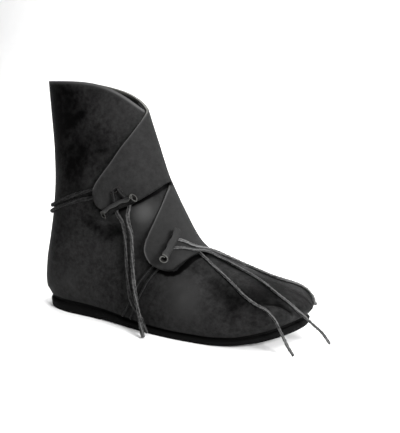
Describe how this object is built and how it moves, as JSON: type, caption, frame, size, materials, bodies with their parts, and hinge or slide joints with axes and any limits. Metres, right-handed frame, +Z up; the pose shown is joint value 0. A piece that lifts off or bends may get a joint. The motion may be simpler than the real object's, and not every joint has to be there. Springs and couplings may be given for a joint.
{
  "type": "ankle boot",
  "caption": "Right leather ankle boot of viking form with a wrap-over front, lapped flaps closed by rolled leather toggles and thin leather laces, and a low rubber sole with a flat heel.",
  "frame": {"origin": "on the floor, under the middle of the boot's own box measured without the free lace ends and knots", "axes": "+X to the toe, +Y to the inner side of the foot, +Z up"},
  "size_m": [0.3041, 0.1144, 0.228],
  "materials": {
    "leather": "matt oiled black leather with a short nap",
    "insole": "plain dark vegetable-tanned leather",
    "rubber": "matt black moulded rubber",
    "lace": "black round-cut leather lace"
  },
  "bodies": {
    "root": {"outsole": "rubber", "insole": "insole", "upper": "leather", "ankle_lace": "lace", "instep_lace": "lace", "ankle_toggle": "lace", "ankle_pull_front": "lace", "ankle_pull_rear": "lace", "ankle_end_front": "lace", "ankle_end_rear": "lace", "instep_toggle": "lace", "instep_end_inner": "lace", "instep_end_upper": "lace", "instep_end_lower": "lace"}
  },
  "joints": []
}
